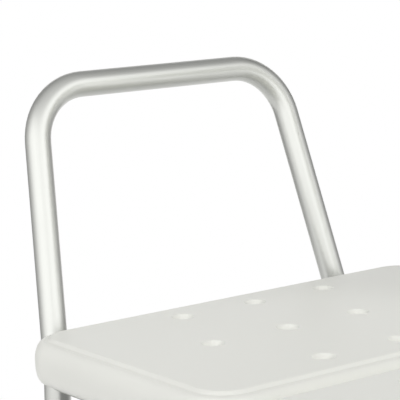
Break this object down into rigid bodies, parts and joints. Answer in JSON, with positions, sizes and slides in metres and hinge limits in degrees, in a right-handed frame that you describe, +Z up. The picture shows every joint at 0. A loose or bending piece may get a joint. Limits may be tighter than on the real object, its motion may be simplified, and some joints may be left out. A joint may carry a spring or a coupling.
{
  "type": "bath chair",
  "caption": "Bath transfer bench with moulded seat panels, an arm rail at one end, a lift-off backrest, telescopic button-locked legs, suction feet and rubber tips.",
  "frame": {"origin": "centre of the bounding box on the floor, at the feet's underside", "axes": "+X along the seat away from the arm rail, +Y from the seat's front to the backrest, +Z up"},
  "size_m": [0.7318, 0.5487, 0.8767],
  "materials": {
    "seat_plastic": "satin blow-moulded polyethylene",
    "anodised_aluminium": "satin anodised",
    "grey_plastic": "fine matt moulded",
    "grey_rubber": "matt",
    "steel": "bright zinc plated"
  },
  "bodies": {
    "frame": {"arm_cap_open_end": "grey_plastic", "arm_cap_rail_end": "grey_plastic", "backrest_arm_open_end": "anodised_aluminium", "backrest_arm_rail_end": "anodised_aluminium", "cross_bolt_open_end_back": "steel", "cross_bolt_open_end_front": "steel", "cross_bolt_rail_end_back": "steel", "cross_bolt_rail_end_front": "steel", "cross_tube_open_end": "anodised_aluminium", "cross_tube_rail_end": "anodised_aluminium", "leg_collar_open_end_back": "grey_plastic", "leg_collar_open_end_front": "grey_plastic", "leg_collar_rail_end_back": "grey_plastic", "leg_collar_rail_end_front": "grey_plastic", "open_end_leg_back": "anodised_aluminium", "open_end_leg_front": "anodised_aluminium", "rail_end_frame": "anodised_aluminium", "seat_panel_open_end": "seat_plastic", "seat_panel_rail_end": "seat_plastic", "seat_screw_back_1": "steel", "seat_screw_back_2": "steel", "seat_screw_back_3": "steel", "seat_screw_back_4": "steel", "seat_screw_front_1": "steel", "seat_screw_front_2": "steel", "seat_screw_front_3": "steel", "seat_screw_front_4": "steel", "side_rail_back": "anodised_aluminium", "side_rail_bolt_open_end_back": "steel", "side_rail_bolt_open_end_front": "steel", "side_rail_bolt_rail_end_back": "steel", "side_rail_bolt_rail_end_front": "steel", "side_rail_front": "anodised_aluminium", "strut_open_end_back": "anodised_aluminium", "strut_open_end_front": "anodised_aluminium", "strut_rail_end_back": "anodised_aluminium", "strut_rail_end_front": "anodised_aluminium", "strut_rivet_open_end_back": "steel", "strut_rivet_open_end_front": "steel", "strut_rivet_rail_end_back": "steel", "strut_rivet_rail_end_front": "steel"},
    "leg_rail_end_front": {"leg_extension_rail_end_front": "anodised_aluminium", "suction_foot_front": "grey_rubber"},
    "button_rail_end_front": {"leg_button_rail_end_front": "steel"},
    "leg_rail_end_back": {"leg_extension_rail_end_back": "anodised_aluminium", "suction_foot_back": "grey_rubber"},
    "button_rail_end_back": {"leg_button_rail_end_back": "steel"},
    "leg_open_end_front": {"leg_extension_open_end_front": "anodised_aluminium", "rubber_tip_front": "grey_rubber"},
    "button_open_end_front": {"leg_button_open_end_front": "steel"},
    "leg_open_end_back": {"leg_extension_open_end_back": "anodised_aluminium", "rubber_tip_back": "grey_rubber"},
    "button_open_end_back": {"leg_button_open_end_back": "steel"},
    "backrest": {"backrest_frame": "anodised_aluminium", "backrest_panel": "seat_plastic", "back_screw_rail_end": "steel", "back_screw_open_end": "steel"},
    "back_button_body_rail_end": {"back_button_rail_end": "steel"},
    "back_button_body_open_end": {"back_button_open_end": "steel"}
  },
  "joints": [
    {"name": "leg_slide_rail_end_front", "type": "slide", "parent": "frame", "child": "leg_rail_end_front", "axis": [-0.0523, 0, -0.9986], "range_m": [-0.0508, 0.1016]},
    {"name": "press_button_rail_end_front", "type": "slide", "parent": "leg_rail_end_front", "child": "button_rail_end_front", "axis": [0, 1, 0], "range_m": [0, 0.0042], "stiffness_N_per_m": 1500, "springref_m": -0.004},
    {"name": "leg_slide_rail_end_back", "type": "slide", "parent": "frame", "child": "leg_rail_end_back", "axis": [-0.0523, 0, -0.9986], "range_m": [-0.0508, 0.1016]},
    {"name": "press_button_rail_end_back", "type": "slide", "parent": "leg_rail_end_back", "child": "button_rail_end_back", "axis": [0, -1, 0], "range_m": [0, 0.0042], "stiffness_N_per_m": 1500, "springref_m": -0.004},
    {"name": "leg_slide_open_end_front", "type": "slide", "parent": "frame", "child": "leg_open_end_front", "axis": [0.0872, 0, -0.9962], "range_m": [-0.0508, 0.1016]},
    {"name": "press_button_open_end_front", "type": "slide", "parent": "leg_open_end_front", "child": "button_open_end_front", "axis": [0, 1, 0], "range_m": [0, 0.0042], "stiffness_N_per_m": 1500, "springref_m": -0.004},
    {"name": "leg_slide_open_end_back", "type": "slide", "parent": "frame", "child": "leg_open_end_back", "axis": [0.0872, 0, -0.9962], "range_m": [-0.0508, 0.1016]},
    {"name": "press_button_open_end_back", "type": "slide", "parent": "leg_open_end_back", "child": "button_open_end_back", "axis": [0, -1, 0], "range_m": [0, 0.0042], "stiffness_N_per_m": 1500, "springref_m": -0.004},
    {"name": "backrest_lift", "type": "slide", "parent": "frame", "child": "backrest", "axis": [0, 0.1045, 0.9945], "range_m": [0, 0.18]},
    {"name": "press_back_button_rail_end", "type": "slide", "parent": "backrest", "child": "back_button_body_rail_end", "axis": [0, -0.9945, 0.1045], "range_m": [0, 0.0042], "stiffness_N_per_m": 1500, "springref_m": -0.004},
    {"name": "press_back_button_open_end", "type": "slide", "parent": "backrest", "child": "back_button_body_open_end", "axis": [0, -0.9945, 0.1045], "range_m": [0, 0.0042], "stiffness_N_per_m": 1500, "springref_m": -0.004}
  ]
}
